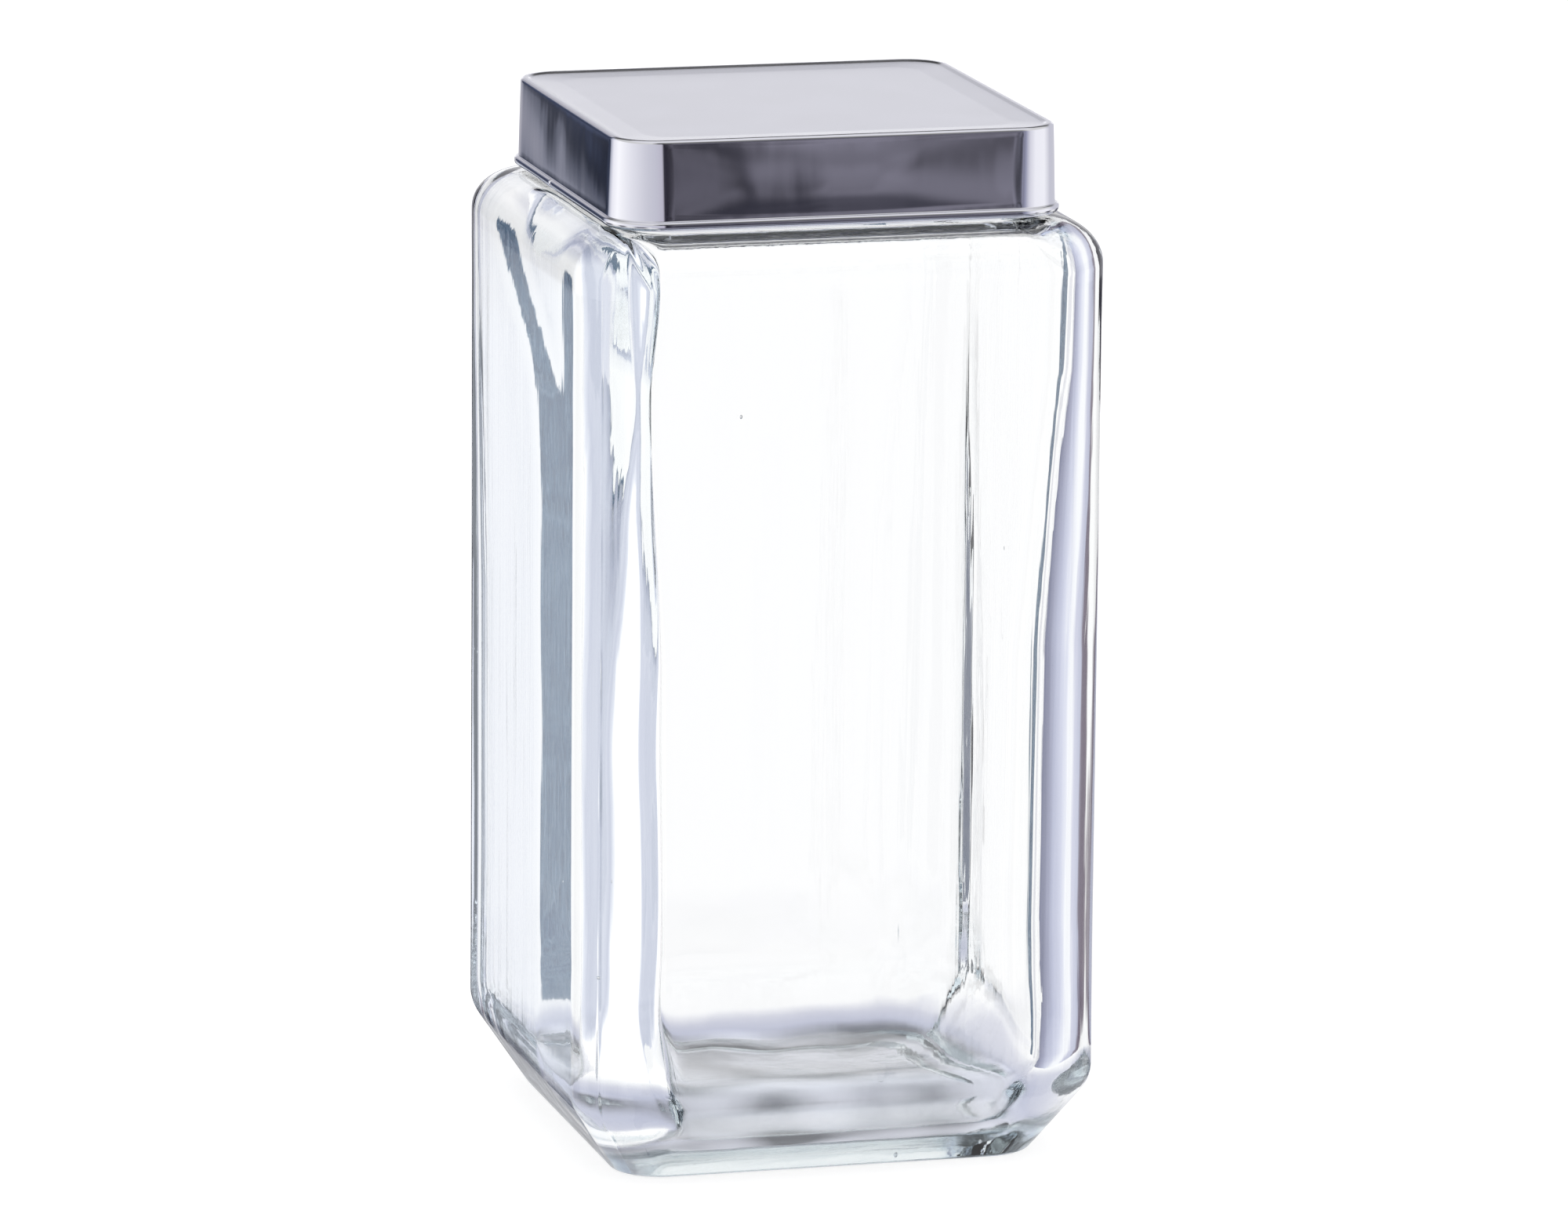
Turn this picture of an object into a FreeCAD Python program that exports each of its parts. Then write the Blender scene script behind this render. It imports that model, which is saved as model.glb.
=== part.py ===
"""Square glass storage canister with a lift-off metal lid.

Units are millimetres, +Z is up and the origin is the centre of the base, on the
surface that the canister stands on. The front faces -Y. The four pieces are the
glass jar and, on the lid, a stamped metal shell with a rolled hem, the moulded
liner that plugs the mouth, and the seal ring that rests on the jar's rim.
"""
import FreeCAD, Part
import math
import os
import re

import Sketcher

# Driving dimensions, copied into the spreadsheet. A "half" is half the width
# across two opposite flats, and a "corner" is the plan radius of a corner.
SIZES = {
    # outside of the jar
    "base_half": 44.9, "base_corner": 10.0, "base_edge": 2.0,
    "heel_rise": 16.9, "heel_blend": 10.0,
    "body_half": 56.0, "body_corner": 12.8,
    "shoulder_start": 189.5, "shoulder_rise": 9.0, "shoulder_inset": 9.9,
    "corner_taper": 0.35,
    "neck_half": 43.6, "neck_corner": 8.0, "rim_top": 213.5, "rim_round": 1.4,
    # inside of the jar
    "floor_half": 42.0, "floor_corner": 13.0, "floor_top": 7.5, "floor_blend": 5.0,
    "inner_heel_top": 19.5, "inner_blend": 8.0,
    "cavity_half": 52.0, "cavity_corner": 18.0,
    "inner_shoulder_start": 187.0, "inner_shoulder_rise": 7.8, "inner_shoulder_inset": 10.1,
    "inner_taper": 1.05,
    "mouth_half": 39.9, "mouth_corner": 6.2,
    "punt_half": 36.0, "punt_top_half": 33.0, "punt_corner": 8.0, "punt_depth": 1.0,
    "overrun": 1.0,
    # metal lid shell
    "lid_top": 218.0, "lid_half": 46.8, "lid_corner": 9.0, "lid_edge": 1.2,
    "skirt_half": 47.4, "skirt_corner": 10.0, "metal": 0.6,
    "hem_bottom": 199.5, "hem_height": 1.9, "hem_half": 48.2, "hem_corner": 10.8,
    "hem_lower": 0.9, "hem_upper": 0.7,
    "dish_depth": 0.6, "dish_half": 45.0, "dish_corner": 7.2, "panel_half": 39.0, "panel_corner": 6.0,
    # moulded liner
    "liner_top": 216.75, "plate": 1.45, "plate_half": 45.9, "plate_corner": 8.1,
    "lip_bottom": 212.4, "lip_inner_half": 44.8, "lip_inner_corner": 7.2,
    "plug_half": 39.4, "plug_corner": 5.8, "plug_bottom": 204.6, "plug_wall": 1.8,
    "plug_lead": 0.7,
    # seal ring
    "seal_outer_half": 44.2, "seal_outer_corner": 7.4,
    "seal_inner_half": 39.6, "seal_inner_corner": 6.0, "seal_bottom": 213.7,
    "seal_round": 0.5,
}
SECTION_STEPS = 4           # spans in each quarter-round shoulder loft
FACE_TOLERANCE = 0.02       # how near an edge must be to a height or width to be picked

doc = FreeCAD.newDocument("canister")
sheet = doc.addObject("Spreadsheet::Sheet", "sizes")
for row, (alias, value) in enumerate(SIZES.items(), start=1):
    sheet.set(f"A{row}", alias)
    sheet.set(f"B{row}", str(value))
    sheet.setAlias(f"B{row}", alias)
doc.recompute()


def new_body(label):
    body = doc.addObject("PartDesign::Body", label)
    body.Label = label
    body.Placement = FreeCAD.Placement()
    return body


def origin_plane(body, role):
    return next(f for f in body.Origin.OriginFeatures if f.Role == role)


def evaluate(expression):
    """The present value of an expression that is written with spreadsheet names."""
    result = sheet.evalExpression(expression)
    return float(getattr(result, "Value", result))


def linked(expression):
    """The same expression as another object has to write it, with sizes. in front."""
    def name_in_sheet(word):
        return f"sizes.{word[0]}" if word[0] in SIZES else word[0]
    return re.sub("[a-z_]+", name_in_sheet, expression)


def draw_rounded_square(sketch, half, corner, prefix):
    """Add one rounded square, centred on the origin, sized by two expressions."""
    a, r = evaluate(half), evaluate(corner)
    c = a - r
    first = sketch.GeometryCount
    ends = [((-c, -a), (c, -a)), ((a, -c), (a, c)), ((c, a), (-c, a)), ((-a, c), (-a, -c))]
    for (x0, y0), (x1, y1) in ends:
        sketch.addGeometry(Part.LineSegment(FreeCAD.Vector(x0, y0, 0), FreeCAD.Vector(x1, y1, 0)))
    for turn, (x, y) in enumerate([(c, -c), (c, c), (-c, c), (-c, -c)]):
        circle = Part.Circle(FreeCAD.Vector(x, y, 0), FreeCAD.Vector(0, 0, 1), r)
        start = math.radians(90 * turn - 90)
        sketch.addGeometry(Part.ArcOfCircle(circle, start, start + math.pi / 2))
    for side in range(4):
        line, arc, after = first + side, first + 4 + side, first + (side + 1) % 4
        sketch.addConstraint(Sketcher.Constraint("Tangent", line, 2, arc, 1))
        sketch.addConstraint(Sketcher.Constraint("Tangent", arc, 2, after, 1))
        sketch.addConstraint(Sketcher.Constraint("Vertical" if side % 2 else "Horizontal", line))
    for side in range(3):
        sketch.addConstraint(Sketcher.Constraint("Equal", first + 4 + side, first + 5 + side))
    sketch.addConstraint(Sketcher.Constraint("Symmetric", first + 4, 3, first + 6, 3, -1, 1))
    driven = [("DistanceX", (-1, 1, first + 1, 1), a, "across", half),
              ("DistanceY", (-1, 1, first + 2, 1), a, "along", half),
              ("Radius", (first + 4,), r, "corner", corner)]
    for kind, places, value, name, expression in driven:
        index = sketch.addConstraint(Sketcher.Constraint(kind, *places, value))
        sketch.renameConstraint(index, prefix + name)
        sketch.setExpression(f"Constraints.{prefix}{name}", linked(expression))


def square_sketch(body, name, half, corner, height, hole=None):
    """A rounded square at a height, with a second one inside it for a ring."""
    sketch = body.newObject("Sketcher::SketchObject", name)
    sketch.AttachmentSupport = (origin_plane(body, "XY_Plane"), [""])
    sketch.MapMode = "FlatFace"
    sketch.setExpression("AttachmentOffset.Base.z", linked(height))
    draw_rounded_square(sketch, half, corner, "outer_")
    if hole:
        draw_rounded_square(sketch, hole[0], hole[1], "inner_")
    return sketch


def loft(body, kind, name, sections, ruled=True):
    """Loft through (half, corner, height) sections, adding or taking away."""
    sketches = [square_sketch(body, f"{name}_section_{n}", *section)
                for n, section in enumerate(sections)]
    feature = body.newObject(f"PartDesign::{kind}", name)
    feature.Profile = sketches[0]
    feature.Sections = sketches[1:]
    feature.Ruled = ruled
    doc.recompute()
    return feature


def extrude(body, kind, name, section, length, hole=None):
    """Pad or pocket one section upwards by a length."""
    sketch = square_sketch(body, f"{name}_outline", *section, hole=hole)
    feature = body.newObject(f"PartDesign::{kind}", name)
    feature.Profile = sketch
    feature.setExpression("Length", linked(length))
    # a pocket cuts against its sketch's normal unless it is reversed
    feature.Reversed = kind == "Pocket"
    doc.recompute()
    return feature


def edges_at(shape, height, half):
    """Names of the edges lying at a height, round a square of a given half width."""
    names = []
    for index, edge in enumerate(shape.Edges, start=1):
        box = edge.BoundBox
        level = abs(box.ZMin - height) < FACE_TOLERANCE and abs(box.ZMax - height) < FACE_TOLERANCE
        reach = max(abs(box.XMin), abs(box.XMax), abs(box.YMin), abs(box.YMax))
        if level and abs(reach - half) < FACE_TOLERANCE:
            names.append(f"Edge{index}")
    return names


def dress_edges(body, kind, name, height, half, amount):
    """Fillet or chamfer the square loop of edges at a height."""
    base = body.Tip
    names = edges_at(base.Shape, evaluate(height), evaluate(half))
    if not names:
        raise RuntimeError(f"{name}: no edge at height {height}, half width {half}")
    feature = body.newObject(f"PartDesign::{kind}", name)
    feature.Base = (base, names)
    feature.setExpression("Radius" if kind == "Fillet" else "Size", linked(amount))
    doc.recompute()
    return feature


def round_edges(body, name, height, half, radius):
    return dress_edges(body, "Fillet", name, height, half, radius)


def quarter_round(start_half, start_corner, start, rise, inset, taper):
    """Sections that turn in from a vertical wall along a quarter of an ellipse.

    The corner radius falls by the taper for each millimetre that the wall moves in.
    """
    sections = []
    for step in range(SECTION_STEPS + 1):
        angle = 90.0 * step / SECTION_STEPS
        moved_in = f"{inset} * (1 - cos({angle} deg))"
        sections.append((f"{start_half} - {moved_in}",
                         f"{start_corner} - {taper} * {moved_in}",
                         f"{start} + {rise} * sin({angle} deg)"))
    return sections


def make_glass_jar():
    body = new_body("glass_jar")
    heel = [("base_half", "base_corner", "0"), ("body_half", "body_corner", "heel_rise")]
    loft(body, "AdditiveLoft", "heel", heel)
    extrude(body, "Pad", "wall", ("body_half", "body_corner", "heel_rise"),
            "shoulder_start - heel_rise")
    loft(body, "AdditiveLoft", "shoulder",
         quarter_round("body_half", "body_corner", "shoulder_start", "shoulder_rise",
                       "shoulder_inset", "corner_taper"), ruled=False)
    extrude(body, "Pad", "neck", ("neck_half", "neck_corner", "shoulder_start"),
            "rim_top - shoulder_start")
    round_edges(body, "heel_round", "heel_rise", "body_half", "heel_blend")
    round_edges(body, "base_round", "0", "base_half", "base_edge")

    floor = [("floor_half", "floor_corner", "floor_top"),
             ("cavity_half", "cavity_corner", "inner_heel_top")]
    loft(body, "SubtractiveLoft", "inner_heel", floor)
    extrude(body, "Pocket", "cavity", ("cavity_half", "cavity_corner", "inner_heel_top"),
            "inner_shoulder_start - inner_heel_top")
    loft(body, "SubtractiveLoft", "inner_shoulder",
         quarter_round("cavity_half", "cavity_corner", "inner_shoulder_start",
                       "inner_shoulder_rise", "inner_shoulder_inset", "inner_taper"),
         ruled=False)
    extrude(body, "Pocket", "mouth", ("mouth_half", "mouth_corner", "inner_shoulder_start"),
            "rim_top + overrun - inner_shoulder_start")
    round_edges(body, "inner_heel_round", "inner_heel_top", "cavity_half", "inner_blend")
    round_edges(body, "floor_round", "floor_top", "floor_half", "floor_blend")
    round_edges(body, "rim_outer_round", "rim_top", "neck_half", "rim_round")
    round_edges(body, "rim_inner_round", "rim_top", "mouth_half", "rim_round")

    punt = [("punt_half", "punt_corner", "0"), ("punt_top_half", "punt_corner", "punt_depth")]
    loft(body, "SubtractiveLoft", "punt", punt)
    return body


def make_lid_shell():
    body = new_body("lid_shell")
    skirt = [("skirt_half", "skirt_corner", "hem_bottom"), ("lid_half", "lid_corner", "lid_top")]
    loft(body, "AdditiveLoft", "skirt", skirt)
    extrude(body, "Pad", "hem", ("hem_half", "hem_corner", "hem_bottom"), "hem_height")
    round_edges(body, "top_round", "lid_top", "lid_half", "lid_edge")
    round_edges(body, "hem_lower_round", "hem_bottom", "hem_half", "hem_lower")
    round_edges(body, "hem_upper_round", "hem_bottom + hem_height", "hem_half", "hem_upper")

    hollow = [("skirt_half - metal", "skirt_corner - metal", "hem_bottom"),
              ("lid_half - metal", "lid_corner - metal", "lid_top - metal")]
    loft(body, "SubtractiveLoft", "hollow", hollow)
    underside = [("dish_half", "dish_corner", "lid_top - metal"),
                 ("panel_half", "panel_corner", "lid_top - metal - dish_depth")]
    loft(body, "AdditiveLoft", "dish_underside", underside)
    dish = [("panel_half", "panel_corner", "lid_top - dish_depth"),
            ("dish_half", "dish_corner", "lid_top")]
    loft(body, "SubtractiveLoft", "dish", dish)
    return body


def make_lid_liner():
    body = new_body("lid_liner")
    extrude(body, "Pad", "plate", ("plate_half", "plate_corner", "liner_top - plate"), "plate")
    extrude(body, "Pad", "lip", ("plate_half", "plate_corner", "lip_bottom"),
            "liner_top - plate - lip_bottom", hole=("lip_inner_half", "lip_inner_corner"))
    extrude(body, "Pad", "plug", ("plug_half", "plug_corner", "plug_bottom"),
            "liner_top - plate - plug_bottom",
            hole=("plug_half - plug_wall", "plug_corner - plug_wall"))
    dress_edges(body, "Chamfer", "plug_lead_in", "plug_bottom", "plug_half", "plug_lead")
    return body


def make_lid_gasket():
    body = new_body("lid_gasket")
    extrude(body, "Pad", "ring", ("seal_outer_half", "seal_outer_corner", "seal_bottom"),
            "liner_top - plate - seal_bottom", hole=("seal_inner_half", "seal_inner_corner"))
    round_edges(body, "outer_lip_round", "seal_bottom", "seal_outer_half", "seal_round")
    round_edges(body, "inner_lip_round", "seal_bottom", "seal_inner_half", "seal_round")
    return body


bodies = [make_glass_jar(), make_lid_shell(), make_lid_liner(), make_lid_gasket()]
doc.recompute()

for item in doc.Objects:
    if {"Invalid", "Error"} & set(item.State):
        raise RuntimeError(f"{item.Name} failed: {item.State}")

os.makedirs("parts", exist_ok=True)
for body in bodies:
    shape = body.Shape
    if shape.isNull() or not shape.isValid() or len(shape.Solids) != 1:
        raise RuntimeError(f"{body.Label} is not one valid solid")
    shape.exportStep(f"parts/{body.Label}.step")
    box = shape.BoundBox
    print(f"{body.Label}: {shape.Volume / 1000:.1f} cm3, "
          f"{box.XLength:.1f} x {box.YLength:.1f} x {box.ZLength:.1f} mm, z from {box.ZMin:.1f}")
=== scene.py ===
"""Looks of a square glass storage canister with a lift-off polished metal lid.

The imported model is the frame: its boxes give the outer sizes, and the shapes inside them
are named constants. The jar and the lid's metal shell are rebuilt as fine meshes, skinned
over square rings with round corners, and the liner and the seal keep their CAD shapes with
moulded materials of their own. Blender's lengths are metres, and a profile is drawn in
millimetres and scaled by MM.

The surround is white to the camera. What the metal mirrors and what shows through the glass
is a painted surround, set for the one camera made here: see the studio section.
"""

import math

import bmesh
import bpy
from mathutils import Matrix, Vector, noise


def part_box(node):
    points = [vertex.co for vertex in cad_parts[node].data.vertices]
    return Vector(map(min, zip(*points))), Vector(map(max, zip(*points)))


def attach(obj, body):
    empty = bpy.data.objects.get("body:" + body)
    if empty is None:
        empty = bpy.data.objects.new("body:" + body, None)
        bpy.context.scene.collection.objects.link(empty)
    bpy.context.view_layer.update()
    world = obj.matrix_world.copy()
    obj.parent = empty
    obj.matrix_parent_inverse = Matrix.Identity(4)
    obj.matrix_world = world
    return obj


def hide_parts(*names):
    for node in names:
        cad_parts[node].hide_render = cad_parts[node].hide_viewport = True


MM = 0.001

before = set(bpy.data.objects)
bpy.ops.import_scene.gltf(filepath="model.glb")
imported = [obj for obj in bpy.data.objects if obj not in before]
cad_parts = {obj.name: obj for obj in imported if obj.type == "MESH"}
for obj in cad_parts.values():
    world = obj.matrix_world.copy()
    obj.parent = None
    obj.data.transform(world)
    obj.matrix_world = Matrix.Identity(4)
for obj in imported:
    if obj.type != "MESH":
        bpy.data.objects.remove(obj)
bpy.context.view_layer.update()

_, jar_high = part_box("glass_jar")
shell_low, shell_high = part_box("lid_shell")
BODY_HALF = round(jar_high.x / MM, 1)      # half the width across two flats
RIM_TOP = jar_high.z / MM
HEM_BOTTOM = shell_low.z / MM
HEM_HALF = shell_high.x / MM
LID_TOP = shell_high.z / MM


# ---------------------------------------------------------------- square skins

SIDE_STEPS = 40        # points along each straight side of a ring
CORNER_STEPS = 24      # points round each corner
SEAM_SHARES = (0.46, 0.475, 0.49, 0.51, 0.525, 0.54)    # extra points beside a mould seam
ARC_STEP = 8.0         # degrees between the points of a blend in a profile
LEFT_SIDE = 3          # front, right, back and left are sides 0 to 3
BACK_RIGHT, FRONT_LEFT = 1, 3      # a corner has the number of the side that it ends


def ring_pattern(seams=(), left_extra=()):
    """Where the points of every ring lie: (side, kind, share), going round anticlockwise.

    Side 0 is the front, and each side is followed by the corner at its far end. A
    corner in seams and the left-hand side get more places, for small details.
    """
    places = []
    for side in range(4):
        shares = {n / SIDE_STEPS for n in range(SIDE_STEPS)}
        if side == LEFT_SIDE:
            shares |= set(left_extra)
        places += [(side, "flat", share) for share in sorted(shares)]
        shares = {n / CORNER_STEPS for n in range(CORNER_STEPS)}
        if side in seams:
            shares |= set(SEAM_SHARES)
        places += [(side, "corner", share) for share in sorted(shares)]
    return places


def ring_point(half, corners, place):
    """Point and outward direction, in plan, of one place on a square with round corners.

    corners holds the radius at the far end of each side.
    """
    side, kind, share = place
    corner, corner_before = corners[side], corners[side - 1]
    if kind == "flat":
        x = (corner_before - half) * (1 - share) + (half - corner) * share
        y, angle = -half, -math.pi / 2
    else:
        angle = -math.pi / 2 + share * math.pi / 2
        x = half - corner * (1 - math.cos(angle))
        y = -half + corner * (1 + math.sin(angle))
    spin = Matrix.Rotation(math.radians(90 * side), 2)
    return spin @ Vector((x, y)), spin @ Vector((math.cos(angle), math.sin(angle)))


def rounded(path, spacing=3.0):
    """Points along a profile of (half, z, corner, blend) knots, each knot rounded by its blend.

    corner is the plan radius there. Straight stretches get a point at least every spacing.
    """
    sharp = [Vector((half, z, corner)) for half, z, corner, _ in path]
    points = [sharp[0]]
    for before, here, after, knot in zip(sharp, sharp[1:], sharp[2:], path[1:]):
        into, out = (before - here).to_2d(), (after - here).to_2d()
        blend = knot[3]
        turn = math.pi - into.angle(out)
        reach = blend * math.tan(turn / 2)
        if blend <= 0 or turn < 1e-4:
            points.append(here)
            continue
        start = here.lerp(before, reach / into.length)
        end = here.lerp(after, reach / out.length)
        centre = here.to_2d() + (into.normalized() + out.normalized()).normalized() \
            * blend / math.cos(turn / 2)
        first = start.to_2d() - centre
        swing = first.angle_signed(end.to_2d() - centre)
        steps = max(3, math.ceil(abs(swing) / math.radians(ARC_STEP)))
        for n in range(steps + 1):
            # angle_signed is clockwise, and so is the turn of this rotation
            spoke = Matrix.Rotation(-swing * n / steps, 2) @ first
            spot = centre + spoke
            # the corner radius follows the inset, so that the corner never overhangs
            along = n / steps
            if abs(end.x - start.x) > 0.05:
                along = (spot.x - start.x) / (end.x - start.x)
            points.append(Vector((spot.x, spot.y, start.z + (end.z - start.z) * along)))
    points.append(sharp[-1])
    fine = [points[0]]
    for a, b in zip(points, points[1:]):
        spans = max(1, math.ceil((b - a).to_2d().length / spacing))
        fine += [a.lerp(b, n / spans) for n in range(1, spans + 1)]
    return fine


def quarter_round(half, corner, z, rise, inset, taper, steps=14):
    """Profile points turning in from a vertical wall along a quarter of an ellipse."""
    points = []
    for n in range(steps + 1):
        angle = math.pi / 2 * n / steps
        inward = inset * (1 - math.cos(angle))
        points.append(Vector((half - inward, z + rise * math.sin(angle), corner - taper * inward)))
    return points


def skin(name, profile, places, shape=None, sharpen=None):
    """A closed smooth mesh over rings that follow a profile of (half, z, corner) points.

    shape may move each point: it gets the point, its outward direction in plan, the
    number of its ring and its place, all in millimetres, and returns the new point.
    sharpen may scale the four corner radii of a ring: it gets the ring's number and z.
    """
    vertices, faces = [], []
    count = len(places)
    for index, (half, z, corner) in enumerate(profile):
        shares = sharpen(index, z) if sharpen else (1, 1, 1, 1)
        corners = [min(corner, half * 0.98) * share for share in shares]
        for place in places:
            spot, outward = ring_point(half, corners, place)
            point = Vector((spot.x, spot.y, z))
            if shape:
                point = shape(point, outward, index, place)
            vertices.append(point * MM)
    for index in range(len(profile) - 1):
        low, high = index * count, (index + 1) * count
        for n in range(count):
            after = (n + 1) % count
            faces.append((low + n, low + after, high + after, high + n))
    faces.append(tuple(reversed(range(count))))
    last = (len(profile) - 1) * count
    faces.append(tuple(range(last, last + count)))
    mesh = bpy.data.meshes.new(name)
    mesh.from_pydata(vertices, [], faces)
    mesh.validate()
    mesh.polygons.foreach_set("use_smooth", [True] * len(mesh.polygons))
    piece = bpy.data.objects.new(name, mesh)
    bpy.context.scene.collection.objects.link(piece)
    return piece


def smooth_step(value, low, high):
    """0 below low, 1 above high and a smooth rise between. low may be above high."""
    share = min(max((value - low) / (high - low), 0), 1)
    return share * share * (3 - 2 * share)


# ---------------------------------------------------------------- node helpers

def new_material(name):
    material = bpy.data.materials.new(name)
    material.use_nodes = True
    tree = material.node_tree
    return material, tree, tree.nodes["Principled BSDF"]


def put(tree, socket, value):
    """Link a socket, or set a number or a colour on it."""
    if isinstance(value, bpy.types.NodeSocket):
        tree.links.new(value, socket)
    elif hasattr(value, "__len__") and socket.type == "RGBA":
        socket.default_value = (*value, 1.0)[:4]
    else:
        socket.default_value = value


def node(tree, kind, **inputs):
    """Add a node. A lower-case key is one of its settings, any other key is a socket."""
    made = tree.nodes.new(kind)
    for key, value in inputs.items():
        if key[0].islower():
            setattr(made, key, value)
        else:
            put(tree, made.inputs[key.replace("_", " ")], value)
    return made


def maths(tree, operation, *values):
    made = node(tree, "ShaderNodeMath", operation=operation)
    for socket, value in zip(made.inputs, values):
        put(tree, socket, value)
    return made.outputs[0]


def ramp(tree, value, stops):
    """A colour ramp over (position, grey or colour) stops."""
    made = node(tree, "ShaderNodeValToRGB", Fac=value)
    elements = made.color_ramp.elements
    while len(elements) < len(stops):
        elements.new(0.5)
    for element, (position, colour) in zip(elements, stops):
        element.position = position
        shade = colour if hasattr(colour, "__len__") else (colour,) * 3
        element.color = (*shade, 1.0)
    return made.outputs["Color"]


def scale_ramp(tree, value, low, high, stops):
    """A colour ramp whose stops are given in the units of the value, from low to high."""
    share = node(tree, "ShaderNodeMapRange", Value=value, From_Min=low, From_Max=high)
    return ramp(tree, share.outputs["Result"],
                [((place - low) / (high - low), colour) for place, colour in stops])


def mixed(tree, share, first, second, blend="MIX"):
    made = node(tree, "ShaderNodeMix", data_type="RGBA", blend_type=blend)
    factor, colour_a, colour_b = made.inputs[0], made.inputs[6], made.inputs[7]
    for socket, value in ((factor, share), (colour_a, first), (colour_b, second)):
        put(tree, socket, value)
    return made.outputs[2]


def step(tree, value, edge, soft):
    """0 below the edge and 1 above it, over a soft width."""
    return node(tree, "ShaderNodeMapRange", interpolation_type="SMOOTHSTEP", Value=value,
                From_Min=edge - soft / 2, From_Max=edge + soft / 2).outputs["Result"]


def band(tree, value, low, high, soft):
    """1 between low and high and 0 outside, with soft edges."""
    inside = maths(tree, "SUBTRACT", 1.0, step(tree, value, high, soft))
    return maths(tree, "MULTIPLY", step(tree, value, low, soft), inside)


def stretched(tree, source, scale):
    """Coordinates multiplied by a scale of their own in x, y and z."""
    return node(tree, "ShaderNodeMapping", Vector=source, Scale=scale).outputs["Vector"]


def from_axis(tree, place):
    """Distance from the upright axis, measured squarely with slightly rounded corners."""
    squareness = 6.0
    split = node(tree, "ShaderNodeSeparateXYZ", Vector=place)
    powers = [maths(tree, "POWER", maths(tree, "ABSOLUTE", split.outputs[axis]), squareness)
              for axis in ("X", "Y")]
    return maths(tree, "POWER", maths(tree, "ADD", *powers), 1 / squareness)


# ---------------------------------------------------------------- the glass jar

# millimetres: a half is half a width, and a corner is a radius in plan
HEEL_TOP = 16.9
BODY_CORNER = 12.8
SHOULDER_START, SHOULDER_RISE, SHOULDER_INSET = 189.5, 9.0, 9.9
NECK_HALF, NECK_CORNER = 43.6, 8.0
MOUTH_HALF, MOUTH_CORNER = 39.9, 6.2
CAVITY_HALF, CAVITY_CORNER = 52.0, 11.5
INNER_START, INNER_RISE, INNER_INSET = 187.5, 7.6, 6.0
CORNER_TAPER = 0.35       # how fast a corner tightens as a shoulder curves in
FLOOR_TOP = 6.8
SEAM_HEIGHT, SEAM_WIDTH = 0.13, 0.35        # the mould's joint line on two corners
CORNER_ARC = 20.0         # rough length of the outside of a corner in plan


def jar_profile():
    """Outside from the middle of the base up to the rim, then inside down to the floor."""
    shoulder = quarter_round(BODY_HALF, BODY_CORNER, SHOULDER_START, SHOULDER_RISE,
                             SHOULDER_INSET, CORNER_TAPER)
    inner = quarter_round(CAVITY_HALF, CAVITY_CORNER, INNER_START, INNER_RISE,
                          INNER_INSET, CORNER_TAPER)
    lower = rounded([
        (4.0, 1.0, 3.0, 0), (33.0, 1.0, 8.0, 1.5), (36.0, 0.0, 8.2, 0.8),
        (44.9, 0.0, 10.0, 2.0), (BODY_HALF, HEEL_TOP, BODY_CORNER, 10.0),
        (BODY_HALF, SHOULDER_START, BODY_CORNER, 0)])
    top_of_shoulder = shoulder[-1]
    neck = rounded([
        (*top_of_shoulder, 0), (NECK_HALF, top_of_shoulder.y, NECK_CORNER, 1.2),
        (NECK_HALF, RIM_TOP, NECK_CORNER, 1.4), (MOUTH_HALF, RIM_TOP, MOUTH_CORNER, 1.4),
        (MOUTH_HALF, inner[-1].y, MOUTH_CORNER, 1.6), (*inner[-1], 0)])
    # the glass is thicker in the corners lower down, so the inner corners grow rounder
    cavity = rounded([
        (CAVITY_HALF, INNER_START, CAVITY_CORNER, 0), (CAVITY_HALF, 168.0, 12.0, 0),
        (CAVITY_HALF, 143.0, 15.0, 0), (CAVITY_HALF, 110.0, 18.5, 0),
        (CAVITY_HALF, 50.0, 19.5, 0), (CAVITY_HALF, 19.5, 18.0, 11.0),
        (43.0, FLOOR_TOP, 14.0, 11.0), (4.0, FLOOR_TOP, 3.0, 0)])
    outside = lower + shoulder[1:] + neck[1:]
    inside = list(reversed(inner))[1:] + cavity[1:]
    return outside + inside, len(outside)


def ripple(point, span, height, seed):
    """Smooth noise from -1 to 1 with its own scale across and up the wall, in millimetres."""
    return noise.noise(Vector((point.x / span + seed, point.y / span - seed, point.z / height)))


def wave(point, depth, span, height, seed):
    return depth * ripple(point, span, height, seed)


# the thick band in the left wall, all in millimetres but the slope
WEDGE_EASE = 1.2          # how softly the slope begins and ends
LONGEST_RUN = 72.0        # a longer distance counts as this
WEDGE_SLOPE = 0.25
WEDGE_STOP = -45.0        # in y, where the slope ends inside the front left corner
INNER_ARM_EDGE = -24.0    # in y, the far edge of the arm that stays at the corner
OUTER_ARM = 12.0          # width of the arm that slants away
OUTER_ARM_GROWTH = 7.0    # how much wider it is near the shoulder
OUTER_ARM_SHIFT = 37.0    # how far it has moved away from the corner at the shoulder


def soft_run(distance):
    """A distance past an edge, eased in over a few millimetres, and next to nothing before it."""
    return WEDGE_EASE * math.log1p(math.exp(min(distance, LONGEST_RUN) / WEDGE_EASE))


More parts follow.
